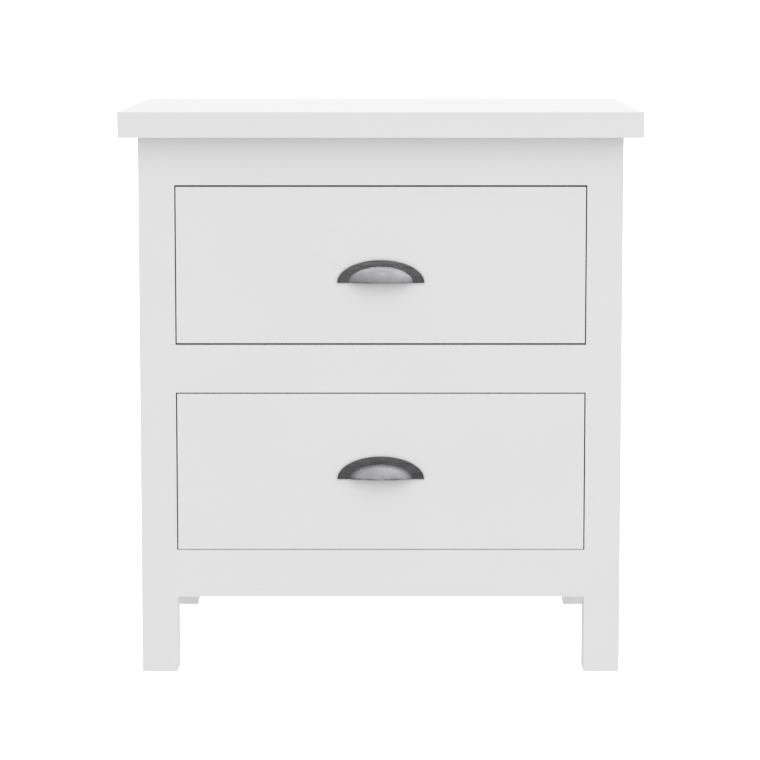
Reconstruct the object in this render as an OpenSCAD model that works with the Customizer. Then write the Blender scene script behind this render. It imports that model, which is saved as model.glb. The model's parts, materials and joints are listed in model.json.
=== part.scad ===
// Nightstand with two inset drawers: four posts and three front rails under an overhanging top,
// recessed side panels, an open underside, and box drawers with applied faces and cup pulls that
// run on full-extension ball-bearing slides.
//
// Millimetres, +Z up. The drawers face -Y. The origin is on the floor, under the middle of the
// overall box, so the back of the top and posts is as far behind it as the top's front edge is in front.

/* [Case] */
// Height from the floor to the upper surface of the top
height = 622; // [600:1:680]
// Width over the outer faces of the posts
case_w = 530; // [480:1:536]
// Depth from the posts' front faces to the back
case_d = 400; // [394:1:404]
// Width of a post, seen from the front
post_w = 39.5; // [36:0.5:48]
// Depth of a post, front to back
post_d = 36; // [34:0.5:44]
// Free height under the bottom rail
leg_h = 84.6; // [60:0.1:100]
// Height of the middle, bottom and back rails
rail_h = 53; // [44:0.5:60]
// Height of the top front rail
top_rail_h = 52.5; // [44:0.5:60]
// Thickness of the front rails
rail_t = 20; // [18:0.5:22]
// Thickness of the side panels
side_t = 15; // [12:0.5:16]
// Step from a post's outer face in to the side panel
side_recess = 5; // [3:0.5:6]

/* [Top] */
// Width of the top
top_w = 571; // [540:1:620]
// Step from the top's front edge back to the posts' front faces
top_front = 20; // [16:1:26]
// Thickness of the top
top_t = 28; // [24:0.5:34]

/* [Drawers] */
// Gap between a drawer face and the post beside it
face_gap_side = 1.2; // [1:0.1:2.5]
// Gap above and below the upper drawer's face
upper_face_gap = 1.7; // [1:0.05:2.5]
// Gap above the lower drawer's face
lower_face_gap = 1.15; // [1:0.05:2.5]
// Gap under the lower drawer's face, which sits low in its opening
lower_foot_gap = 0.55; // [0.4:0.05:2.5]
// Thickness of a drawer face
face_t = 20; // [18:0.5:22]
// Height of a drawer box
box_h = 140; // [110:1:144]
// Length of a drawer box and of its slides
box_l = 350; // [300:10:350]
// Thickness of the box's boards
box_t = 12; // [11:0.5:14]
// Thickness of the panel at the bottom of a box
bottom_t = 5; // [4:0.5:6]
// Dovetails at each corner of a box
tails = 4; // [3:1:5]

/* [Pulls] */
// Width of a pull's flange
pull_w = 95.5; // [85:0.5:110]
// Height of a pull's flange
pull_h = 25; // [22:0.5:32]
// Thickness of a pull's flange
flange_t = 2; // [1.5:0.25:3]
// Width of the hollow dome where it meets the flange
dome_w = 71; // [68:0.5:76]
// Height of the dome where it meets the flange
dome_h = 17.8; // [15:0.1:20]
// How far the dome's centre lies behind the drawer face: more of it makes a flatter dome
dome_sink = 4; // [0:0.5:8]
// How far a pull stands out from the drawer face
pull_proj = 12; // [11:0.5:16]
// Thickness of the dome's wall
dome_wall = 2; // [1.5:0.25:3]
// Distance between the two screws of a pull
pull_holes = 44; // [40:1:46]

/* [Hidden] */
$fn = 48;

// Sides of the case and levels of the drawers
LEFT = -1;
RIGHT = 1;
LOWER = 0;
UPPER = 1;
SIDES = [LEFT, RIGHT];
LEVELS = [LOWER, UPPER];

// Colours
PAINT = "whitesmoke";
PINE = "burlywood";
PLY = "tan";
STEEL = "silver";
IRON = "dimgray";

// Planes of the case
back_y = (case_d + top_front) / 2;
front_y = back_y - case_d;
under_top = height - top_t;
post_in = case_w / 2 - post_w;
side_out = case_w / 2 - side_recess;
side_in = side_out - side_t;
post_back = front_y + post_d;
rear_post_front = back_y - post_d;
opening_h = (under_top - leg_h - top_rail_h - 2 * rail_h) / 2;
top_rail_z = under_top - top_rail_h;
middle_rail_z = leg_h + rail_h + opening_h;

// Panels let into the posts
tongue_t = 6;
tongue_l = 8;
glue_gap = 0.1;
back_panel_t = 4;
rabbet_w = 10;
rabbet_d = 5;
back_rail_t = 18;
back_rail_y = back_y - rabbet_d - back_rail_t;

// Strips that carry the top and the slides
cleat_h = 20;
batten_h = 60;

// Slides: u counts from the case side, z from the middle of the slide
slide_t = 13;
slide_back = 2;
slide_y = front_y + face_t + slide_back;
slide_above_box = 60;
sheet = 1.2;
cage_sheet = 0.6;
ball_r = 1.8;
ball_rows = 6;
ball_pitch = 28;
cage_l = 160;
// Each row: half height over the flanges, u of the web, u where the flanges end
case_member = [22.5, 0, 9];
outer_cage = [19.75, 1.9, 8];
middle_member = [17.4, 3, 11];
inner_cage = [14.65, 4.7, 10];
drawer_member = [12.3, slide_t, 6];
cage_flange_t = 0.8;
outer_ball = [19.35, 6];
inner_ball = [14.25, 8];

// Drawer boxes
box_w = 2 * (post_in - slide_t);
box_lift = 15;
box_y = front_y + face_t;
groove_d = 6;
groove_lift = 12;
bottom_in = 5.5;
tail_slope = 1 / 7;
tail_share = 0.6;

// Screws and dowels: length, shank radius, head radius
top_screw = [34, 2, 4];
batten_screw = [30, 1.75, 3.5];
case_slide_screw = [16, 1.75, 3.2];
drawer_slide_screw = [12, 1.75, 3.2];
face_screw = [28, 2, 4];
nail = [14, 0.8, 1.7];
pull_screw = [37.5, 2, 3.6];
pan_head_h = 2.2;
recess_w = 0.9;
recess_d = 0.9;
hole_gap = 0.08;
dowel_r = 4;
dowel_l = 34;
dowel_from_middle = 14;
// Screws along a slide, and along the strips as shares of their length
screw_stations = [18, 165, box_l - 50];
top_screw_shares = [0.1, 0.5, 0.9];
strip_screw_shares = [0.2, 0.6, 0.8];
// Nails up the back posts: the first above the case's lower edge, their spacing, and the last below the top
nail_first = 30;
nail_pitch = 100;
nail_last = 60;
thread_depth = 5.8;
boss_r = 4.4;

function opening_z(level) = leg_h + rail_h + level * (opening_h + rail_h);
function face_gap(level) = level == UPPER ? upper_face_gap : lower_face_gap;
function foot_gap(level) = level == UPPER ? upper_face_gap : lower_foot_gap;
function face_z(level) = opening_z(level) + foot_gap(level);
function box_z(level) = opening_z(level) + box_lift;
function slide_z(level) = box_z(level) + slide_above_box;
// Height of the lower edge of each pull above the floor: the two are not at one place on their faces
function pull_z(level) = face_z(level) + (level == UPPER ? 66.8 : 78.85);

// ---------------------------------------------------------------- helpers

// What children draw for the right side, on either side
module on_side(side) {
    if (side == RIGHT) children();
    else mirror([1, 0, 0]) children();
}

// Box between two corners
module block(low, high) {
    translate(low) cube(high - low);
}

// Turns that point a screw, which runs down from its head, along an axis
module shank_to_front() rotate([-90, 0, 0]) children();
module shank_up() rotate([180, 0, 0]) children();
module shank_out() rotate([0, -90, 0]) children();
module shank_in() rotate([0, 90, 0]) children();

// Cross recess in the top of a head
module cross_recess(head_r) {
    for (turn = [0, 90])
        rotate([0, 0, turn])
            translate([-head_r * 0.55, -recess_w / 2, -recess_d])
                cube([head_r * 1.1, recess_w, recess_d + 1]);
}

// Countersunk screw, its head's top at z = 0; a wider copy without a recess makes its hole
module flat_screw(size, gap = 0) {
    length = size[0];
    shank = size[1];
    head = size[2];
    cone = head - shank;
    difference() {
        union() {
            translate([0, 0, -length - gap]) cylinder(h = length + gap, r = shank + gap);
            translate([0, 0, -cone - gap]) cylinder(h = cone + gap, r1 = shank + gap, r2 = head + gap);
            if (gap > 0) cylinder(h = 0.5, r = head + gap);
        }
        if (gap == 0) cross_recess(head);
    }
}

// Pan-head screw, the underside of its head at z = 0
module pan_screw(size) {
    length = size[0];
    shank = size[1];
    head = size[2];
    difference() {
        union() {
            translate([0, 0, -length]) cylinder(h = length, r = shank);
            cylinder(h = pan_head_h * 0.5, r = head);
            translate([0, 0, pan_head_h * 0.5])
                cylinder(h = pan_head_h * 0.5, r1 = head, r2 = head * 0.7);
        }
        translate([0, 0, pan_head_h]) cross_recess(head * 0.8);
    }
}

module screw_hole(size) flat_screw(size, hole_gap);

module shank_hole(size) {
    translate([0, 0, -size[0] - hole_gap]) cylinder(h = size[0] + 1, r = size[1] + hole_gap);
}

// ---------------------------------------------------------------- where things go

module at_top_screws() {
    for (share = top_screw_shares)
        translate([(post_in + side_in) / 2,
                   post_back + share * (rear_post_front - post_back),
                   under_top - cleat_h])
            shank_up() children();
}

// Screws that hold a strip of the case to the right side panel, at height z
module at_strip_screws(z) {
    for (share = strip_screw_shares)
        translate([post_in, post_back + share * (rear_post_front - post_back), z])
            shank_out() children();
}

module at_case_slide_screws(level) {
    for (station = screw_stations)
        translate([post_in - sheet, slide_y + station, slide_z(level)])
            shank_out() children();
}

module at_drawer_slide_screws(level) {
    for (station = screw_stations)
        translate([box_w / 2 + sheet, slide_y + station, slide_z(level)])
            shank_in() children();
}

module at_face_screws(level) {
    for (x = [-150, 150], z = [40, 100])
        translate([x, box_y + box_t, box_z(level) + z])
            shank_to_front() children();
}

module at_pull_screws(level) {
    for (side = SIDES)
        translate([side * pull_holes / 2, box_y + box_t, pull_z(level) + boss_r])
            shank_to_front() children();
}

module at_nails() {
    panel_x = post_in + rabbet_w / 2;
    for (side = SIDES, z = [leg_h + nail_first : nail_pitch : under_top - nail_last])
        translate([side * panel_x, back_y - rabbet_d + back_panel_t, z])
            shank_to_front() children();
    for (x = [-150, 0, 150], z = [leg_h + rail_h / 2, under_top - rail_h / 2])
        translate([x, back_y - rabbet_d + back_panel_t, z])
            shank_to_front() children();
}

// Two dowels at the right end of a rail whose lower edge is at z
module at_rail_dowels(z, h, y) {
    for (step = [-1, 1])
        translate([post_in - dowel_l / 2, y, z + h / 2 + step * dowel_from_middle])
            rotate([0, 90, 0]) children();
}

// Every dowel joint on the right side of the front, or of the back
module at_front_dowels() {
    y = front_y + rail_t / 2;
    at_rail_dowels(leg_h, rail_h, y) children();
    at_rail_dowels(middle_rail_z, rail_h, y) children();
    at_rail_dowels(top_rail_z, top_rail_h, y) children();
}

module at_back_dowels() {
    y = back_rail_y + back_rail_t / 2;
    at_rail_dowels(leg_h, rail_h, y) children();
    at_rail_dowels(under_top - rail_h, rail_h, y) children();
}

module dowel_hole() {
    translate([0, 0, -0.5]) cylinder(h = dowel_l + 1, r = dowel_r + hole_gap);
}

// ---------------------------------------------------------------- case

module top_panel() {
    color(PAINT)
        difference() {
            block([-top_w / 2, front_y - top_front, under_top], [top_w / 2, back_y, height]);
            for (side = SIDES) on_side(side) at_top_screws() screw_hole(top_screw);
        }
}

// Groove in a post for the tongue of a side panel
module tongue_groove(y_low, y_high) {
    middle = (side_in + side_out) / 2;
    half = tongue_t / 2 + glue_gap;
    block([middle - half, y_low, leg_h - 0.5], [middle + half, y_high, under_top + 1]);
}

module front_post() {
    color(PAINT)
        difference() {
            block([post_in, front_y, 0], [case_w / 2, post_back, under_top]);
            tongue_groove(post_back - tongue_l - 0.5, post_back + 1);
            at_front_dowels() dowel_hole();
            for (level = LEVELS) at_case_slide_screws(level) screw_hole(case_slide_screw);
        }
}

module back_post() {
    rabbet_low = leg_h - 0.5;
    color(PAINT)
        difference() {
            block([post_in, rear_post_front, 0], [case_w / 2, back_y, under_top]);
            tongue_groove(rear_post_front - 1, rear_post_front + tongue_l + 0.5);
            block([post_in - 1, back_y - rabbet_d, rabbet_low],
                  [post_in + rabbet_w + 0.5, back_y + 1, under_top + 1]);
            at_back_dowels() dowel_hole();
            at_nails() screw_hole(nail);
        }
}

module front_rail(z, h) {
    color(PAINT)
        difference() {
            block([-post_in, front_y, z], [post_in, front_y + rail_t, z + h]);
            for (side = SIDES)
                on_side(side) at_rail_dowels(z, h, front_y + rail_t / 2) dowel_hole();
        }
}

module back_rail(z) {
    color(PAINT)
        difference() {
            block([-post_in, back_rail_y, z], [post_in, back_rail_y + back_rail_t, z + rail_h]);
            for (side = SIDES)
                on_side(side)
                    at_rail_dowels(z, rail_h, back_rail_y + back_rail_t / 2) dowel_hole();
            at_nails() screw_hole(nail);
        }
}

module side_panel() {
    middle = (side_in + side_out) / 2;
    color(PAINT)
        difference() {
            union() {
                block([side_in, post_back, leg_h], [side_out, rear_post_front, under_top]);
                block([middle - tongue_t / 2, post_back - tongue_l, leg_h],
                      [middle + tongue_t / 2, rear_post_front + tongue_l, under_top]);
            }
            for (level = LEVELS) at_strip_screws(slide_z(level)) screw_hole(batten_screw);
            at_strip_screws(under_top - cleat_h / 2) screw_hole(batten_screw);
        }
}

module back_panel() {
    color(PAINT)
        difference() {
            block([-post_in - rabbet_w, back_y - rabbet_d, leg_h],
                  [post_in + rabbet_w, back_y - rabbet_d + back_panel_t, under_top]);
            at_nails() screw_hole(nail);
        }
}

module top_cleat() {
    color(PINE)
        difference() {
            block([post_in, post_back, under_top - cleat_h],
                  [side_in, rear_post_front, under_top]);
            at_top_screws() screw_hole(top_screw);
            at_strip_screws(under_top - cleat_h / 2) screw_hole(batten_screw);
        }
}

module batten(level) {
    color(PINE)
        difference() {
            block([post_in, post_back, slide_z(level) - batten_h / 2],
                  [side_in, rear_post_front, slide_z(level) + batten_h / 2]);
            at_strip_screws(slide_z(level)) screw_hole(batten_screw);
            at_case_slide_screws(level) screw_hole(case_slide_screw);
        }
}

module dowels() {
    color(PINE)
        for (side = SIDES)
            on_side(side) {
                at_front_dowels() cylinder(h = dowel_l, r = dowel_r);
                at_back_dowels() cylinder(h = dowel_l, r = dowel_r);
            }
}

module top_screws() {
    color(STEEL)
        for (side = SIDES) on_side(side) at_top_screws() flat_screw(top_screw);
}

module batten_screws() {
    color(STEEL)
        for (side = SIDES)
            on_side(side) {
                for (level = LEVELS) at_strip_screws(slide_z(level)) flat_screw(batten_screw);
                at_strip_screws(under_top - cleat_h / 2) flat_screw(batten_screw);
            }
}

module back_panel_nails() {
    color(STEEL) at_nails() flat_screw(nail);
}

module case_slide_screws() {
    color(STEEL)
        for (side = SIDES, level = LEVELS)
            on_side(side) at_case_slide_screws(level) flat_screw(case_slide_screw);
}

// ---------------------------------------------------------------- slides

// Outline of a channel in the u-z plane: a web with a flange at each end
module channel_outline(member, web_t, tip_t) {
    half = member[0];
    web = member[1];
    tip = member[2];
    inside = web + sign(tip - web) * web_t;
    polygon([[web, -half], [tip, -half], [tip, tip_t - half], [inside, tip_t - half],
             [inside, half - tip_t], [tip, half - tip_t], [tip, half], [web, half]]);
}

// Channel of a given length along Y, with u counted inward from the right post's inner face
module channel(member, length, web_t, tip_t) {
    translate([post_in, length, 0])
        rotate([90, 0, 0])
            linear_extrude(height = length)
                mirror([1, 0]) channel_outline(member, web_t, tip_t);
}

// Slot through a web, rounded at both ends
module slot(y, z, half_l, r) {
    for (step = [-1, 1])
        translate([post_in - slide_t - 1, y + step * half_l, z])
            rotate([0, 90, 0]) cylinder(h = slide_t + 2, r = r);
    block([post_in - slide_t - 1, y - half_l, z - r], [post_in + 1, y + half_l, z + r]);
}

module case_slide(level) {
    color(STEEL)
        difference() {
            translate([0, slide_y, slide_z(level)])
                channel(case_member, box_l, sheet, sheet);
            at_case_slide_screws(level) screw_hole(case_slide_screw);
            for (station = [60, 230]) slot(slide_y + station, slide_z(level), 5, 2.2);
        }
}

module middle_slide(level) {
    color(STEEL)
        difference() {
            translate([0, slide_y, slide_z(level)])
                channel(middle_member, box_l, sheet, sheet);
            for (station = screw_stations)
                slot(slide_y + station, slide_z(level), 4, 4.2);
        }
}

module drawer_slide(level) {
    color(STEEL)
        difference() {
            translate([0, slide_y, slide_z(level)])
                channel(drawer_member, box_l, sheet, sheet);
            at_drawer_slide_screws(level)
                translate([0, 0, -sheet - 1]) cylinder(h = sheet + 2, r = drawer_slide_screw[1] + hole_gap);
            for (station = [60, 230]) slot(slide_y + station, slide_z(level), 5, 2.2);
        }
}

// Retainer strips with their balls, both sides of one drawer
module ball_cages(level, cage, ball) {
    middle_y = slide_y + box_l / 2;
    first = middle_y - ball_pitch * (ball_rows - 1) / 2;
    color(STEEL)
        for (side = SIDES)
            on_side(side) {
                difference() {
                    translate([0, middle_y - cage_l / 2, slide_z(level)])
                        channel(cage, cage_l, cage_sheet, cage_flange_t);
                    for (row = [0 : ball_rows - 1])
                        translate([post_in - ball[1], first + row * ball_pitch, slide_z(level) - 30])
                            cylinder(h = 60, r = ball_r + hole_gap);
                }
                for (row = [0 : ball_rows - 1], up = [-1, 1])
                    translate([post_in - ball[1], first + row * ball_pitch,
                               slide_z(level) + up * ball[0]])
                        sphere(r = ball_r);
            }
}

// ---------------------------------------------------------------- drawers

module drawer_face(level) {
    half = post_in - face_gap_side;
    top_z = opening_z(level) + opening_h - face_gap(level);
    color(PAINT)
        difference() {
            block([-half, front_y, face_z(level)], [half, front_y + face_t, top_z]);
            at_face_screws(level) screw_hole(face_screw);
            at_pull_screws(level) shank_hole(pull_screw);
        }
}

// Outline of the tails at one end of a side board: x is the way out, y the height
module tail_outline(gap) {
    pitch = box_h / tails;
    root = pitch * tail_share;
    tip = root + 2 * box_t * tail_slope;
    for (tail = [0 : tails - 1])
        translate([0, (tail + 0.5) * pitch])
            polygon([[-0.01, -root / 2 - gap], [box_t + gap, -tip / 2 - gap],
                     [box_t + gap, tip / 2 + gap], [-0.01, root / 2 + gap]]);
}

// Tails of the right side board at the box's back, or with front = true at its front
module side_tails(level, front, gap) {
    y = front ? box_y + box_t : box_y + box_l - box_t;
    turn = front ? 1 : 0;
    translate([box_w / 2 - box_t - gap, y, box_z(level)])
        mirror([0, turn, 0])
            rotate([90, 0, 90])
                linear_extrude(height = box_t + 2 * gap) tail_outline(gap);
}

// Groove for the bottom panel, as a block around its edges
module bottom_space(level) {
    x = box_w / 2 - box_t + groove_d;
    z = box_z(level) + groove_lift - glue_gap / 2;
    block([-x, box_y + box_t - groove_d, z],
          [x, box_y + box_l - box_t + groove_d, z + bottom_t + glue_gap]);
}

module box_side(level) {
    color(PINE)
        difference() {
            union() {
                block([box_w / 2 - box_t, box_y + box_t, box_z(level)],
                      [box_w / 2, box_y + box_l - box_t, box_z(level) + box_h]);
                side_tails(level, true, 0);
                side_tails(level, false, 0);
            }
            bottom_space(level);
            at_drawer_slide_screws(level) shank_hole(drawer_slide_screw);
        }
}

module box_end(level, y) {
    color(PINE)
        difference() {
            block([-box_w / 2, y, box_z(level)], [box_w / 2, y + box_t, box_z(level) + box_h]);
            for (side = SIDES)
                on_side(side) {
                    side_tails(level, true, glue_gap);
                    side_tails(level, false, glue_gap);
                }
            bottom_space(level);
            at_face_screws(level) screw_hole(face_screw);
            at_pull_screws(level) shank_hole(pull_screw);
        }
}

module box_front(level) box_end(level, box_y);
module box_back(level) box_end(level, box_y + box_l - box_t);

module box_bottom(level) {
    x = box_w / 2 - box_t + bottom_in;
    z = box_z(level) + groove_lift;
    color(PLY)
        block([-x, box_y + box_t - bottom_in, z],
              [x, box_y + box_l - box_t + bottom_in, z + bottom_t]);
}

// Part of an ellipsoid that stands out to -Y and up to +Z, and is half_w and up large at the flange's front
module quarter_dome(half_w, out, up) {
    deep = out + dome_sink;
    spread = 1 / sqrt(1 - pow((flange_t + dome_sink) / deep, 2));
    intersection() {
        translate([0, dome_sink, 0])
            scale([half_w * spread, deep, up * spread]) sphere(r = 1);
        block([-half_w * spread, -out - 1, 0], [half_w * spread, 0, up * spread]);
    }
}

module cup_pull(level) {
    half_w = dome_w / 2;
    color(IRON)
        translate([0, front_y, pull_z(level)])
            difference() {
                union() {
                    difference() {
                        intersection() {
                            scale([pull_w / 2, 1, pull_h])
                                rotate([90, 0, 0]) cylinder(h = flange_t, r = 1, $fn = 96);
                            block([-pull_w, -flange_t - 1, 0], [pull_w, 1, pull_h + 1]);
                        }
                        quarter_dome(half_w - 1, pull_proj - 1, dome_h - 1);
                    }
                    difference() {
                        quarter_dome(half_w, pull_proj, dome_h);
                        quarter_dome(half_w - dome_wall, pull_proj - dome_wall, dome_h - dome_wall);
                    }
                    intersection() {
                        quarter_dome(half_w - 0.5, pull_proj - 0.5, dome_h - 0.5);
                        for (side = SIDES)
                            translate([side * pull_holes / 2, 0, boss_r])
                                rotate([90, 0, 0]) cylinder(h = pull_proj, r = boss_r);
                    }
                }
                for (side = SIDES)
                    translate([side * pull_holes / 2, 1, boss_r])
                        rotate([90, 0, 0])
                            cylinder(h = thread_depth + 1, r = pull_screw[1] + hole_gap);
            }
}

module pull_screws(level) {
    color(STEEL) at_pull_screws(level) pan_screw(pull_screw);
}

module face_screws(level) {
    color(STEEL) at_face_screws(level) flat_screw(face_screw);
}

module drawer_slide_screws(level) {
    color(STEEL)
        for (side = SIDES)
            on_side(side) at_drawer_slide_screws(level) pan_screw(drawer_slide_screw);
}

// ---------------------------------------------------------------- nodes

top_panel();
on_side(LEFT) front_post();  // front_post_left
on_side(RIGHT) front_post();  // front_post_right
on_side(LEFT) back_post();  // back_post_left
on_side(RIGHT) back_post();  // back_post_right
front_rail(top_rail_z, top_rail_h);  // top_rail
front_rail(middle_rail_z, rail_h);  // middle_rail
front_rail(leg_h, rail_h);  // bottom_rail
on_side(LEFT) side_panel();  // side_panel_left
on_side(RIGHT) side_panel();  // side_panel_right
back_rail(under_top - rail_h);  // back_rail_top
back_rail(leg_h);  // back_rail_bottom
back_panel();
on_side(LEFT) top_cleat();  // top_cleat_left
on_side(RIGHT) top_cleat();  // top_cleat_right
on_side(LEFT) batten(UPPER);  // upper_batten_left
on_side(RIGHT) batten(UPPER);  // upper_batten_right
on_side(LEFT) batten(LOWER);  // lower_batten_left
on_side(RIGHT) batten(LOWER);  // lower_batten_right
on_side(LEFT) case_slide(UPPER);  // upper_case_slide_left
on_side(RIGHT) case_slide(UPPER);  // upper_case_slide_right
on_side(LEFT) case_slide(LOWER);  // lower_case_slide_left
on_side(RIGHT) case_slide(LOWER);  // lower_case_slide_right
dowels();
top_screws();
batten_screws();
back_panel_nails();
case_slide_screws();

drawer_face(UPPER);  // upper_drawer_face
box_front(UPPER);  // upper_box_front
on_side(LEFT) box_side(UPPER);  // upper_box_left
on_side(RIGHT) box_side(UPPER);  // upper_box_right
box_back(UPPER);  // upper_box_back
box_bottom(UPPER);  // upper_box_bottom
cup_pull(UPPER);  // upper_pull
pull_screws(UPPER);  // upper_pull_screws
face_screws(UPPER);  // upper_face_screws
on_side(LEFT) drawer_slide(UPPER);  // upper_drawer_slide_left
on_side(RIGHT) drawer_slide(UPPER);  // upper_drawer_slide_right
drawer_slide_screws(UPPER);  // upper_drawer_slide_screws

drawer_face(LOWER);  // lower_drawer_face
box_front(LOWER);  // lower_box_front
on_side(LEFT) box_side(LOWER);  // lower_box_left
on_side(RIGHT) box_side(LOWER);  // lower_box_right
box_back(LOWER);  // lower_box_back
box_bottom(LOWER);  // lower_box_bottom
cup_pull(LOWER);  // lower_pull
pull_screws(LOWER);  // lower_pull_screws
face_screws(LOWER);  // lower_face_screws
on_side(LEFT) drawer_slide(LOWER);  // lower_drawer_slide_left
on_side(RIGHT) drawer_slide(LOWER);  // lower_drawer_slide_right
drawer_slide_screws(LOWER);  // lower_drawer_slide_screws

on_side(LEFT) middle_slide(UPPER);  // upper_middle_slide_left
on_side(RIGHT) middle_slide(UPPER);  // upper_middle_slide_right
on_side(LEFT) middle_slide(LOWER);  // lower_middle_slide_left
on_side(RIGHT) middle_slide(LOWER);  // lower_middle_slide_right
ball_cages(UPPER, outer_cage, outer_ball);  // upper_outer_ball_cages
ball_cages(UPPER, inner_cage, inner_ball);  // upper_inner_ball_cages
ball_cages(LOWER, outer_cage, outer_ball);  // lower_outer_ball_cages
ball_cages(LOWER, inner_cage, inner_ball);  // lower_inner_ball_cages
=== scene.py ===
import json
import math

import bpy
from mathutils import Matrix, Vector, noise


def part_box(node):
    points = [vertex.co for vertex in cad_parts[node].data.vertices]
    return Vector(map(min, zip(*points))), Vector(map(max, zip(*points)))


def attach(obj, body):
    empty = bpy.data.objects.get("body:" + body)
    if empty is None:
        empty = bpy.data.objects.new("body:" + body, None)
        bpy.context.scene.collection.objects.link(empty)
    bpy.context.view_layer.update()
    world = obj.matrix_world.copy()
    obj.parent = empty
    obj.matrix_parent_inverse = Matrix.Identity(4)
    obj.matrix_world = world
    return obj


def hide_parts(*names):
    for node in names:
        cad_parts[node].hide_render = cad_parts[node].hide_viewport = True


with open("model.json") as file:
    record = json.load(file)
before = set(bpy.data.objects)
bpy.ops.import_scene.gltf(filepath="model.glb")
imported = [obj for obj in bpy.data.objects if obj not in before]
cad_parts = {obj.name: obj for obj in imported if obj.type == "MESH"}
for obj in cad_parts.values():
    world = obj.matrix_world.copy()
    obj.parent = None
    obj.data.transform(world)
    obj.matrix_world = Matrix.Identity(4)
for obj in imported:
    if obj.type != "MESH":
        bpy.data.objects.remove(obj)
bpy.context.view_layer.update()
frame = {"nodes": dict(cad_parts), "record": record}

# The nightstand's looks: painted wood, bare pine and plywood in the drawers, zinc-plated slides and
# screws, and two cast pulls that are built here. Metres, in the CAD frame: the drawers face -Y.

MM = 0.001
AXES = "XYZ"

# ---------------------------------------------------------------- node trees


class Finish:
    """A material and short ways to add nodes to it. Patterns start from object coordinates, in metres."""

    def __init__(self, name):
        self.material = bpy.data.materials.new(name)
        self.material.use_nodes = True
        self.tree = self.material.node_tree
        self.shader = self.tree.nodes["Principled BSDF"]
        self.place = self.tree.nodes.new("ShaderNodeTexCoord").outputs["Object"]

    def set(self, **values):
        """Sets or links the shader's sockets: base_color, roughness, metallic and so on."""
        for key, value in values.items():
            self._feed(self.shader.inputs[key.replace("_", " ").title().replace("Ior", "IOR")], value)
        return self

    def _feed(self, socket, value):
        if isinstance(value, bpy.types.NodeSocket):
            self.tree.links.new(value, socket)
        elif socket.type == "RGBA" and len(value) == 3:
            socket.default_value = (*value, 1.0)
        else:
            socket.default_value = value

    def node(self, kind, inputs=(), **settings):
        made = self.tree.nodes.new(kind)
        for key, value in settings.items():
            setattr(made, key, value)
        for key, value in dict(inputs).items():
            self._feed(made.inputs[key], value)
        return made

    def stretched(self, scale, shift=(0, 0, 0)):
        """The place, scaled along each axis: a pattern runs along the axis with the smallest scale."""
        return self.node(
            "ShaderNodeMapping", {"Vector": self.place, "Scale": scale, "Location": shift}
        ).outputs[0]

    def noise(self, where, scale=1.0, detail=3.0, roughness=0.5, distortion=0.0):
        return self.node(
            "ShaderNodeTexNoise",
            {
                "Vector": where,
                "Scale": scale,
                "Detail": detail,
                "Roughness": roughness,
                "Distortion": distortion,
            },
        ).outputs[0]

    def math(self, operation, a, b=0.0):
        return self.node("ShaderNodeMath", {0: a, 1: b}, operation=operation).outputs[0]

    def span(self, value, low, high, to_low=0.0, to_high=1.0):
        """value, from low..high to to_low..to_high, held at the ends."""
        return self.node(
            "ShaderNodeMapRange",
            {"Value": value, "From Min": low, "From Max": high, "To Min": to_low, "To Max": to_high},
        ).outputs[0]

    def mix(self, share, first, second, blend="MIX"):
        made = self.node("ShaderNodeMix", data_type="RGBA", blend_type=blend)
        for key, value in (("Factor_Float", share), ("A_Color", first), ("B_Color", second)):
            socket = next(s for s in made.inputs if s.identifier == key)
            self._feed(socket, value)
        return next(s for s in made.outputs if s.identifier == "Result_Color")

    def ramp(self, value, *stops):
        """value through a colour ramp; each stop is (position, colour)."""
        made = self.node("ShaderNodeValToRGB", {"Fac": value})
        elements = made.color_ramp.elements
        while len(elements) < len(stops):
            elements.new(0.5)
        for element, (position, colour) in zip(elements, stops):
            element.position = position
            element.color = (*colour, 1.0)
        return made.outputs[0]

    def bump(self, height, distance, under=None):
        inputs = {"Height": height, "Distance": distance, "Strength": 1.0}
        if under is not None:
            inputs["Normal"] = under
        return self.node("ShaderNodeBump", inputs).outputs[0]


def along(axis, length_scale, width_scale):
    """Scales that stretch a pattern along an axis."""
    return tuple(length_scale if name == axis else width_scale for name in AXES)


def tint(colour, factor):
    return tuple(channel * factor for channel in colour)


# ---------------------------------------------------------------- wood and paint

WHITE = (0.735, 0.735, 0.735)
# Noise scales, in features a metre
PAINT_GRAIN = (9, 260)
PAINT_STIPPLE = 850
PAINT_CLOUD = 7
PAINT_ROUGHNESS = (0.34, 0.44)
GRAIN_RELIEF = 0.05 * MM
STIPPLE_RELIEF = 0.025 * MM


def satin_paint(axis, name="satin_paint", colour=WHITE):
    """White satin paint: a fine roller stipple over a trace of the wood's grain."""
    f = Finish(f"{name}_{axis}")
    grain = f.noise(f.stretched(along(axis, *PAINT_GRAIN)), 1.0, 4, 0.6)
    stipple = f.noise(f.place, PAINT_STIPPLE, 2, 0.5)
    cloud = f.noise(f.place, PAINT_CLOUD, 2, 0.5)
    shade = f.mix(cloud, tint(colour, 0.985), tint(colour, 1.012))
    shade = f.mix(f.span(grain, 0.62, 0.8, 0.0, 0.35), shade, tint(colour, 0.95))
    rough = f.span(stipple, 0.25, 0.75, *PAINT_ROUGHNESS)
    relief = f.bump(grain, GRAIN_RELIEF)
    relief = f.bump(stipple, STIPPLE_RELIEF, relief)
    return f.set(base_color=shade, roughness=rough, normal=relief).material


# Noise scales along and across a board: how its rings wander, its fibres and its dark streaks
RING_WARP = (1.6, 9)
RING_WARP_SHIFT = (0.3, 0.7, 0.1)
RING_WANDER = 7.0
WOOD_FIBRE = (25, 1300)
WOOD_STREAK = (3, 70)
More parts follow.
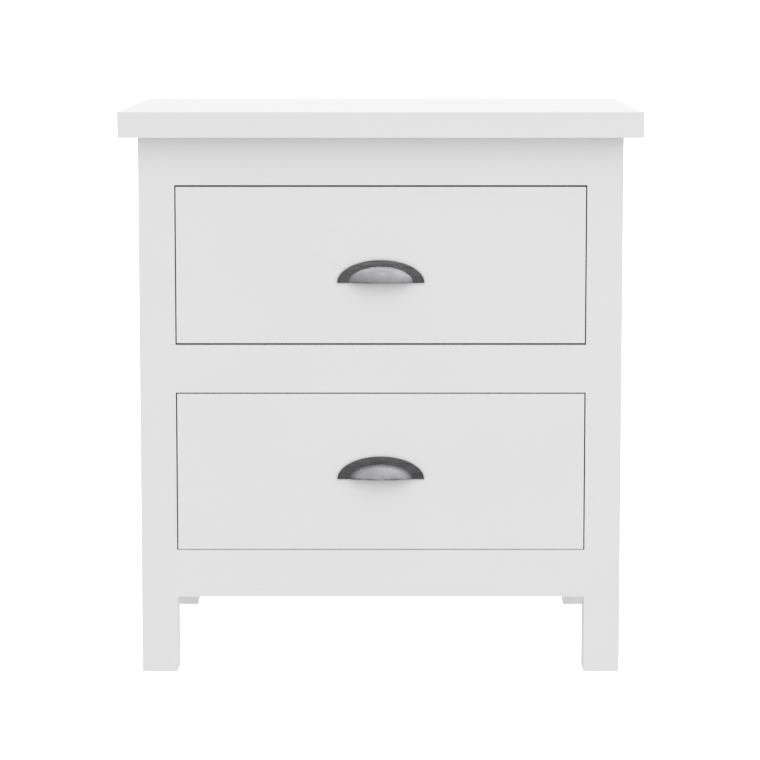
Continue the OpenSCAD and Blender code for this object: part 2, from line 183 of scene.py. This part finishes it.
# One growth ring, from its pale early wood to its dark late wood
RING = (0.0, (0, 0, 0)), (0.55, (0.12, 0.12, 0.12)), (0.9, (1, 1, 1)), (1.0, (0, 0, 0))
LATE_SHARE = 0.75
FIBRE_RELIEF = 0.06 * MM
RING_RELIEF = 0.05 * MM


def bare_wood(axis, name, early, late, ring_scale, roughness, coat=0.0):
    """Sawn softwood: distorted growth rings along the board, fine fibres and a few darker streaks."""
    f = Finish(f"{name}_{axis}")
    warp = f.noise(f.stretched(along(axis, *RING_WARP), RING_WARP_SHIFT), 1.0, 3, 0.55)
    across = f.node("ShaderNodeSeparateXYZ", {"Vector": f.place})
    width = across.outputs["Z"] if axis != "Z" else across.outputs["X"]
    depth = across.outputs["Y"] if axis != "Y" else across.outputs["X"]
    rings = f.math("ADD", f.math("MULTIPLY", width, ring_scale), f.math("MULTIPLY", warp, RING_WANDER))
    rings = f.math("ADD", rings, f.math("MULTIPLY", depth, ring_scale * 0.6))
    latewood = f.ramp(f.math("FRACT", rings), *RING)
    fibre = f.noise(f.stretched(along(axis, *WOOD_FIBRE)), 1.0, 3, 0.6)
    streak = f.noise(f.stretched(along(axis, *WOOD_STREAK)), 1.0, 4, 0.6)
    shade = f.mix(f.math("MULTIPLY", latewood, LATE_SHARE), early, late)
    shade = f.mix(f.span(streak, 0.45, 0.8, 0.0, 0.4), shade, tint(late, 0.9))
    shade = f.mix(f.span(fibre, 0.3, 0.75, 0.0, 0.25), shade, tint(early, 1.12))
    relief = f.bump(fibre, FIBRE_RELIEF)
    relief = f.bump(latewood, RING_RELIEF, relief)
    rough = f.span(fibre, 0.3, 0.7, roughness - 0.06, roughness + 0.08)
    f.set(base_color=shade, roughness=rough, normal=relief)
    if coat:
        f.set(coat_weight=coat, coat_roughness=0.25)
    return f.material


def drawer_pine(axis):
    early, late = (0.68, 0.50, 0.31), (0.47, 0.29, 0.14)
    return bare_wood(axis, "drawer_pine", early, late, ring_scale=80, roughness=0.48, coat=0.15)


def case_pine(axis):
    early, late = (0.60, 0.44, 0.27), (0.40, 0.25, 0.13)
    return bare_wood(axis, "case_pine", early, late, ring_scale=110, roughness=0.68)


def beech(axis):
    early, late = (0.55, 0.36, 0.22), (0.42, 0.25, 0.14)
    return bare_wood(axis, "beech", early, late, ring_scale=300, roughness=0.6)


PLY_FIGURE = (
    (0.3, (0.60, 0.45, 0.28)),
    (0.5, (0.53, 0.38, 0.22)),
    (0.62, (0.60, 0.44, 0.27)),
    (0.8, (0.48, 0.33, 0.18)),
)
PLY_FLECK = (0.40, 0.26, 0.14)
FLECK_RELIEF = 0.03 * MM


def plywood(axis):
    """Sanded birch ply: pale, with broad soft figure and short flecks."""
    f = Finish(f"plywood_{axis}")
    figure = f.noise(f.stretched(along(axis, 2.2, 14), (0.2, 0.4, 0)), 1.0, 4, 0.55, 1.2)
    fleck = f.noise(f.stretched(along(axis, 90, 900)), 1.0, 2, 0.6)
    shade = f.ramp(figure, *PLY_FIGURE)
    shade = f.mix(f.span(fleck, 0.55, 0.75, 0.0, 0.35), shade, PLY_FLECK)
    rough = f.span(fleck, 0.3, 0.7, 0.5, 0.62)
    return f.set(base_color=shade, roughness=rough, normal=f.bump(fleck, FLECK_RELIEF)).material


def painted_board(axis):
    return satin_paint(axis, "painted_board", tint(WHITE, 0.97))


# ---------------------------------------------------------------- metals


ZINC_RELIEF = 0.012 * MM


def zinc_steel(axis, name="zinc_steel", colour=(0.60, 0.61, 0.62), roughness=0.3):
    """Bright zinc plate on rolled steel: lines along the rolling, cloudy patches and a few dull spots."""
    f = Finish(f"{name}_{axis}")
    lines = f.noise(f.stretched(along(axis, 12, 1600)), 1.0, 3, 0.6)
    cloud = f.noise(f.place, 45, 4, 0.6, 0.6)
    spots = f.noise(f.place, 400, 2, 0.5)
    shade = f.mix(cloud, tint(colour, 0.82), tint(colour, 1.12))
    shade = f.mix(f.span(spots, 0.66, 0.78, 0.0, 0.5), shade, tint(colour, 0.6))
    rough = f.span(cloud, 0.3, 0.7, roughness - 0.06, roughness + 0.12)
    relief = f.bump(lines, ZINC_RELIEF)
    return f.set(base_color=shade, metallic=1.0, roughness=rough, normal=relief).material


def ball_steel(axis):
    return zinc_steel(axis, "ball_steel", (0.55, 0.56, 0.58), 0.2)


def fastener_steel(axis):
    return zinc_steel(axis, "fastener_steel", (0.52, 0.52, 0.50), 0.34)


# Depths in front of the drawer face between which the dark flange gives way to the rubbed dome
FLANGE_FRONT = 2.1 * MM
DOME_BEGINS = 2.4 * MM
# Heights above the pull's lower edge between which each effect fades: the painted shade along the lip, the
# painted shade low on the dome, the painted highlight along the dome's top rim, and the painted shade on
# the flange's ends
LIP_DARK, LIP_CLEAR = 0.3 * MM, 3.0 * MM
LOW_SHADE_FULL, LOW_SHADE_ENDS = -3 * MM, 12 * MM
RIM_HIGHLIGHT_FROM, RIM_HIGHLIGHT_FULL = 4 * MM, 14 * MM
FLANGE_DIM, FLANGE_CLEAR = 2 * MM, 20 * MM
# How far the upper limit of the dome's low painted shade climbs per unit of way to the left
LOW_SHADE_LEAN = 0.15
# Depth in front of the drawer face at which the painted highlight along the dome's top rim ends
RIM_HIGHLIGHT_REACH = 7.5 * MM

FLANGE_DARK = (0.060, 0.060, 0.063)
FLANGE_LIGHT = (0.150, 0.150, 0.153)
FLANGE_GRIT = (0.21, 0.21, 0.213)
FLANGE_PAINTED_SHADE = (0.02, 0.02, 0.021)
DOME_DARK = (0.375, 0.372, 0.395)
DOME_LIGHT = (0.50, 0.495, 0.525)
DOME_PATCH = (0.29, 0.287, 0.305)
DOME_GRIT = (0.28, 0.28, 0.29)
DOME_RIM_HIGHLIGHT = (0.84, 0.84, 0.87)
DOME_LOW_SHADE = (0.17, 0.17, 0.178)
DOME_CREASE_SHADE = (0.05, 0.05, 0.055)
LIP_PAINTED_SHADE = (0.11, 0.105, 0.10)
BLOTCH_RELIEF = 0.06 * MM
GRIT_RELIEF = 0.02 * MM


def antique_metal(name, seed, flange, crease, reach, tarnish, burnish):
    """Cast metal with a dark flange and a dome that is rubbed pale, mottled all over.

    flange scales the flange's tone. crease is how dark the painted shade in the corner round the dome is,
    and reach how far in front of the drawer face it goes. tarnish is how dark the painted shade on the dome
    is low down, and more so on its left. burnish is how bright the painted highlight along the dome's top
    rim is.
    """
    f = Finish(name)
    shift = (seed * 0.37, seed * 0.21, seed * 0.53)
    where = f.stretched((1, 1, 1), shift)
    blotch = f.noise(where, 170, 4, 0.6, 0.2)
    patch = f.noise(where, 52, 3, 0.5)
    grit = f.noise(where, 1100, 3, 0.6)
    mottle = f.noise(where, 400, 3, 0.55)
    streak = f.noise(f.stretched((60, 300, 700), shift), 1.0, 3, 0.6)
    parts = f.node("ShaderNodeSeparateXYZ", {"Vector": f.place})
    height = parts.outputs["Z"]
    depth = f.math("MULTIPLY", parts.outputs["Y"], -1.0)
    ragged = f.math("ADD", depth, f.span(blotch, 0.3, 0.7, -0.15 * MM, 0.15 * MM))
    rubbed = f.span(ragged, FLANGE_FRONT, DOME_BEGINS)
    dark = f.mix(f.span(streak, 0.36, 0.64), tint(FLANGE_DARK, flange), tint(FLANGE_LIGHT, flange))
    dark = f.mix(f.span(grit, 0.35, 0.7, 0.0, 0.35), dark, tint(FLANGE_GRIT, flange))
    # Painted shade: the flange is darker low down, towards its ends.
    dark = f.mix(f.span(height, FLANGE_DIM, FLANGE_CLEAR, 0.35, 0.0), dark, FLANGE_PAINTED_SHADE)
    pale = f.mix(f.span(blotch, 0.3, 0.7), DOME_DARK, DOME_LIGHT)
    pale = f.mix(f.span(patch, 0.5, 0.72, 0.0, 0.6), pale, DOME_PATCH)
    pale = f.mix(f.span(grit, 0.55, 0.8, 0.0, 0.3), pale, DOME_GRIT)
    pale = f.mix(f.span(mottle, 0.42, 0.66, 0.0, 0.4), pale, DOME_PATCH)
    # Painted highlight: the dome is paler along its top rim, next to the flange.
    rim = f.span(depth, DOME_BEGINS, RIM_HIGHLIGHT_REACH, 1.0, 0.0)
    rim = f.math("MULTIPLY", rim, f.span(height, RIM_HIGHLIGHT_FROM, RIM_HIGHLIGHT_FULL))
    pale = f.mix(f.math("MULTIPLY", rim, burnish), pale, DOME_RIM_HIGHLIGHT)
    # Painted shade: the dome is darker low down, and more so on its left.
    low_left = f.math("ADD", height, f.math("MULTIPLY", parts.outputs["X"], LOW_SHADE_LEAN))
    low_shaded = f.span(low_left, LOW_SHADE_FULL, LOW_SHADE_ENDS, tarnish, 0.0)
    pale = f.mix(low_shaded, pale, DOME_LOW_SHADE)
    # Painted shade in the corner where the dome meets the flange.
    shade_in_crease = f.math("MULTIPLY", f.span(depth, DOME_BEGINS, reach, 1.0, 0.0), crease)
    pale = f.mix(shade_in_crease, pale, DOME_CREASE_SHADE)
    # Painted shade along the lip, broken into patches.
    lip_shade = f.span(height, LIP_DARK, LIP_CLEAR, 1.0, 0.0)
    lip_shade = f.math("MULTIPLY", lip_shade, f.span(patch, 0.42, 0.6, 0.05, 1.0))
    pale = f.mix(lip_shade, pale, LIP_PAINTED_SHADE)
    shade = f.mix(rubbed, dark, pale)
    rough = f.span(blotch, 0.3, 0.7, 0.42, 0.58)
    relief = f.bump(blotch, BLOTCH_RELIEF)
    relief = f.bump(grit, GRIT_RELIEF, relief)
    return f.set(base_color=shade, metallic=0.9, roughness=rough, normal=relief).material


# ---------------------------------------------------------------- CAD nodes

FINISHES = {
    "painted_wood": satin_paint,
    "painted_board": painted_board,
    "drawer_pine": drawer_pine,
    "case_pine": case_pine,
    "plywood": plywood,
    "beech_dowel": beech,
    "slide_steel": zinc_steel,
    "slide_ball_steel": ball_steel,
    "fastener_steel": fastener_steel,
}
# Radius of the eased edge on each kind of board or sheet
EDGES = {
    "painted_wood": 0.5 * MM,
    "drawer_pine": 0.5 * MM,
    "case_pine": 0.8 * MM,
    "plywood": 0.3 * MM,
    "painted_board": 0.3 * MM,
}
WELD = 0.002 * MM
# Edges with a smaller angle than SHARP, or shorter than SHORTEST_EASED, stay as they are
SHARP = math.radians(40)
SHORTEST_EASED = 4 * MM
# Distance of the joints between rails and posts from the middle
JOINT_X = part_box("front_post_right")[0].x


def long_axis(node):
    """The axis that a board's grain or a rolled section runs along."""
    low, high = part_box(node)
    sides = high - low
    return AXES[max(range(3), key=lambda i: sides[i])]


def at_joint(point):
    """Whether a point is in the flush, painted joints between the rails and the posts."""
    return abs(abs(point.x) - JOINT_X) < WELD


def board_edges(mesh):
    """The indices of the mesh's long sharp edges, counting vertices at one place as one."""
    place = [tuple(round(c / WELD) for c in vertex.co) for vertex in mesh.vertices]
    beside = {}
    for face in mesh.polygons:
        for a, b in face.edge_keys:
            beside.setdefault(frozenset((place[a], place[b])), []).append(face.normal)
    found = []
    for edge in mesh.edges:
        a, b = edge.vertices
        normals = beside.get(frozenset((place[a], place[b])), [])
        if len(normals) != 2 or normals[0].angle(normals[1], 0) < SHARP:
            continue
        ends = mesh.vertices[a].co, mesh.vertices[b].co
        if (ends[0] - ends[1]).length > SHORTEST_EASED and not all(map(at_joint, ends)):
            found.append(edge.index)
    return found


def ease_edges(piece, radius):
    """Rounds a board's long edges with modifiers. Its screw holes stay crisp."""
    weight = piece.data.attributes.new("bevel_weight_edge", "FLOAT", "EDGE")
    for index in board_edges(piece.data):
        weight.data[index].value = 1.0
    weld = piece.modifiers.new("Weld", "WELD")
    weld.merge_threshold = WELD
    bevel = piece.modifiers.new("Bevel", "BEVEL")
    bevel.width = radius
    bevel.segments = 2
    bevel.limit_method = "WEIGHT"
    bevel.harden_normals = True
    bevel.use_clamp_overlap = True


def finish_cad_nodes():
    made = {}
    for row in frame["record"]["subparts"]:
        node, slot = row["node"], row["material_slot"]
        if slot not in FINISHES:
            continue
        key = (slot, long_axis(node))
        if key not in made:
            made[key] = FINISHES[slot](key[1])
        piece = frame["nodes"][node]
        piece.data.materials.clear()
        piece.data.materials.append(made[key])
        if slot in EDGES:
            ease_edges(piece, EDGES[slot])


# ---------------------------------------------------------------- pulls

PULL_WALL = 2.0 * MM
FLANGE_T = 2.0 * MM
# The dome's width and height at the flange's front, as shares of the pull's
DOME_SHARE_W = 71 / 95.5
DOME_SHARE_H = 17.8 / 25
# How far the dome's centre lies behind the drawer face
DOME_SINK = 4.0 * MM
LIP_LIFT = 0.1 * MM
# The two bosses that the screws enter
BOSS_R = 3.4 * MM
BOSS_L = 6.3 * MM
BOSS_APART = 44 * MM
BOSS_UP = 4.4 * MM
# Size of the cells that fuse the parts, and how often the result is smoothed
VOXEL = 0.32 * MM
SOFTEN = 5
# The casting's roughness: its height, its scale, and the y in front of which it begins
CAST_HEIGHT = 0.05 * MM
CAST_SCALE = 260
CAST_FROM = -0.2 * MM


def dome_grid(half_w, out, up, across=96, around=40):
    """Rows of points on part of an ellipsoid, from its lower lip to y = 0.

    It is half_w and up large at the flange's front, and its centre lies DOME_SINK behind y = 0.
    """
    deep = out + DOME_SINK
    spread = 1 / math.sqrt(1 - ((FLANGE_T + DOME_SINK) / deep) ** 2)
    widest = half_w * spread * math.sqrt(1 - (DOME_SINK / deep) ** 2)
    rows = []
    for i in range(across + 1):
        x = -widest * math.cos(math.pi * i / across)
        c = math.sqrt(1 - (x / (half_w * spread)) ** 2)
        last = math.acos(min(1.0, DOME_SINK / (deep * c)))
        first = min(last, math.asin(LIP_LIFT / (up * spread * c)))
        angles = [first + (last - first) * j / around for j in range(around + 1)]
        rows.append(
            [(x, DOME_SINK - deep * c * math.cos(a), up * spread * c * math.sin(a)) for a in angles]
        )
    return rows


def add_grid(points, faces, rows, flip):
    """Adds rows of points and the quads between them. Returns the first index and a row's length."""
    first = len(points)
    width = len(rows[0])
    for row in rows:
        points.extend(row)
    for i in range(len(rows) - 1):
        for j in range(width - 1):
            a = first + i * width + j
            quad = (a, a + 1, a + width + 1, a + width)
            faces.append(quad[::-1] if flip else quad)
    return first, width


def dome_mesh(points, faces, half_w, out, up):
    """The hollow dome as one closed shell."""
    outer = dome_grid(half_w, out, up)
    inner = dome_grid(half_w - PULL_WALL, out - PULL_WALL, up - PULL_WALL)
    a, width = add_grid(points, faces, outer, True)
    b, _ = add_grid(points, faces, inner, False)
    for i in range(len(outer) - 1):
        for j in (0, width - 1):
            p, q = a + i * width + j, b + i * width + j
            quad = (p, p + width, q + width, q)
            faces.append(quad if j == 0 else quad[::-1])


def flange_mesh(points, faces, half_w, h, hole_w, hole_h, steps=96):
    """Half-oval plate with a half-oval hole behind the dome."""
    first = len(points)
    for i in range(steps + 1):
        a = math.pi * i / steps
        for w, up, y in (
            (half_w, h, 0),
            (half_w, h, -FLANGE_T),
            (hole_w, hole_h, -FLANGE_T),
            (hole_w, hole_h, 0),
        ):
            points.append((w * math.cos(a), y, up * math.sin(a)))
    for i in range(steps):
        for j in range(4):
            p, q = first + 4 * i, first + 4 * (i + 1)
            faces.append((p + j, p + (j + 1) % 4, q + (j + 1) % 4, q + j))
    last = first + 4 * steps
    faces.append((first + 3, first + 2, first + 1, first))
    faces.append((last, last + 1, last + 2, last + 3))


def boss_mesh(points, faces, x, z, steps=32):
    """Closed cylinder for a screw, from y = 0 towards the front."""
    first = len(points)
    for y in (0, -BOSS_L):
        for i in range(steps):
            a = 2 * math.pi * i / steps
            points.append((x + BOSS_R * math.cos(a), y, z + BOSS_R * math.sin(a)))
    for i in range(steps):
        j = (i + 1) % steps
        faces.append((first + i, first + j, first + steps + j, first + steps + i))
    faces.append(tuple(first + i for i in reversed(range(steps))))
    faces.append(tuple(first + steps + i for i in range(steps)))


def roughen(mesh):
    """Pushes the front in by a fine random amount, as sand leaves a casting."""
    moved = []
    normals = [normal.vector.copy() for normal in mesh.vertex_normals]
    for vertex, normal in zip(mesh.vertices, normals):
        place = vertex.co.copy()
        if place.y < CAST_FROM:
            rise = noise.noise(place * CAST_SCALE) + 0.5 * noise.noise(place * CAST_SCALE * 3)
            place -= normal * CAST_HEIGHT * (0.6 - rise)
        moved.extend(place)
    mesh.vertices.foreach_set("co", moved)


def pull_mesh(width, height, out):
    """The whole pull, its back at y = 0 and its lower edge at z = 0, fused and softened as a casting is."""
    points, faces = [], []
    dome_w, dome_h = width / 2 * DOME_SHARE_W, height * DOME_SHARE_H
    dome_mesh(points, faces, dome_w, out, dome_h)
    flange_mesh(points, faces, width / 2, height, dome_w - PULL_WALL / 2, dome_h - PULL_WALL / 2)
    for side in (-1, 1):
        boss_mesh(points, faces, side * BOSS_APART / 2, BOSS_UP)
    mesh = bpy.data.meshes.new("pull_parts")
    mesh.from_pydata(points, [], faces)
    rough = bpy.data.objects.new("pull_parts", mesh)
    bpy.context.scene.collection.objects.link(rough)
    fuse = rough.modifiers.new("Fuse", "REMESH")
    fuse.mode = "VOXEL"
    fuse.voxel_size = VOXEL
    soften = rough.modifiers.new("Soften", "SMOOTH")
    soften.factor = 0.5
    soften.iterations = SOFTEN
    seen = rough.evaluated_get(bpy.context.evaluated_depsgraph_get())
    cast = bpy.data.meshes.new_from_object(seen)
    bpy.data.objects.remove(rough)
    roughen(cast)
    cast.polygons.foreach_set("use_smooth", [True] * len(cast.polygons))
    cast.update()
    return cast


def make_pull(level, seed, **wear):
    """Builds the pull that stands in for a CAD pull, at its place and of its size."""
    node = f"{level}_pull"
    low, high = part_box(node)
    mesh = pull_mesh(high.x - low.x, high.z - low.z, high.y - low.y)
    piece = bpy.data.objects.new(f"{level}_cup_pull", mesh)
    bpy.context.scene.collection.objects.link(piece)
    piece.location = ((low.x + high.x) / 2, high.y, low.z)
    mesh.materials.append(antique_metal(f"{level}_pull_metal", seed, **wear))
    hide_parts(node)
    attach(piece, f"{level}_drawer")


# ---------------------------------------------------------------- stage, light and camera

FLOOR_SIZE = 200.0
# Light from the whole sky: its mean, how much brighter it is to the right and above, and what the camera
# sees of it
SKY_MEAN = 1.0
SKY_RIGHT = 0.12
SKY_UP = 0.22
BACKDROP = 1.05
KEY_PLACE = (1.1, -2.3, 3.2)
KEY_SIZE = 2.0
KEY_POWER = 8.0
AIM = (0, 0, 0.3)

# The camera's pitch is in degrees below level, and its shift in frame widths
CAMERA_PLACE = (0, -3.396, 0.747)
CAMERA_PITCH = 6.72
CAMERA_LENS = 139.2
CAMERA_SHIFT = (-0.001, -0.05)


def make_floor():
    """A plain white floor that glows, so no shadow shows on it. The light from below comes from the sky."""
    mesh = bpy.data.meshes.new("floor")
    half = FLOOR_SIZE / 2
    corners = [(-half, -half, 0), (half, -half, 0), (half, half, 0), (-half, half, 0)]
    mesh.from_pydata(corners, [], [(0, 1, 2, 3)])
    floor = bpy.data.objects.new("floor", mesh)
    bpy.context.scene.collection.objects.link(floor)
    floor.visible_diffuse = False
    floor.visible_shadow = False
    floor.visible_glossy = False
    f = Finish("floor")
    f.set(base_color=(0.8, 0.8, 0.8), roughness=0.9, specular_ior_level=0.0)
    f.set(emission_color=(1, 1, 1), emission_strength=BACKDROP)
    mesh.materials.append(f.material)


def make_sky():
    """A soft studio: light from all round, stronger from above and the right, and a white backdrop."""
    world = bpy.data.worlds.new("sky")
    bpy.context.scene.world = world
    world.use_nodes = True
    tree = world.node_tree
    light = tree.nodes["Background"]
    direction = tree.nodes.new("ShaderNodeTexCoord").outputs["Generated"]
    lean = tree.nodes.new("ShaderNodeVectorMath")
    lean.operation = "DOT_PRODUCT"
    lean.inputs[1].default_value = (SKY_RIGHT, 0, SKY_UP)
    tree.links.new(direction, lean.inputs[0])
    strength = tree.nodes.new("ShaderNodeMath")
    strength.inputs[1].default_value = SKY_MEAN
    tree.links.new(lean.outputs["Value"], strength.inputs[0])
    tree.links.new(strength.outputs[0], light.inputs["Strength"])
    light.inputs["Color"].default_value = (1, 1, 1, 1)
    backdrop = tree.nodes.new("ShaderNodeBackground")
    backdrop.inputs["Color"].default_value = (1, 1, 1, 1)
    backdrop.inputs["Strength"].default_value = BACKDROP
    seen = tree.nodes.new("ShaderNodeLightPath").outputs["Is Camera Ray"]
    choose = tree.nodes.new("ShaderNodeMixShader")
    tree.links.new(seen, choose.inputs[0])
    tree.links.new(light.outputs[0], choose.inputs[1])
    tree.links.new(backdrop.outputs[0], choose.inputs[2])
    tree.links.new(choose.outputs[0], tree.nodes["World Output"].inputs["Surface"])


def make_key_light():
    data = bpy.data.lights.new("key", "AREA")
    data.shape = "DISK"
    data.size = KEY_SIZE
    data.energy = KEY_POWER
    light = bpy.data.objects.new("key", data)
    bpy.context.scene.collection.objects.link(light)
    light.location = KEY_PLACE
    light.rotation_mode = "QUATERNION"
    light.rotation_quaternion = (Vector(AIM) - Vector(KEY_PLACE)).to_track_quat("-Z", "Y")


def make_camera():
    data = bpy.data.cameras.new("camera")
    data.lens = CAMERA_LENS
    data.shift_x, data.shift_y = CAMERA_SHIFT
    camera = bpy.data.objects.new("camera", data)
    bpy.context.scene.collection.objects.link(camera)
    camera.location = CAMERA_PLACE
    camera.rotation_euler = (math.radians(90 - CAMERA_PITCH), 0, 0)
    bpy.context.scene.camera = camera


# ---------------------------------------------------------------- the scene

bpy.context.scene.view_settings.view_transform = "Standard"
make_camera()
make_sky()
make_floor()
make_key_light()
finish_cad_nodes()
# The two pulls take different painted shade and highlight: the upper one a pale top rim and more shade low
# down, the lower one shade in the corner round its dome.
make_pull("upper", 1, flange=1.1, crease=0.0, reach=3.2 * MM, tarnish=0.7, burnish=1.0)
make_pull("lower", 2, flange=0.9, crease=0.85, reach=8 * MM, tarnish=0.15, burnish=0.1)

bpy.context.view_layer.update()
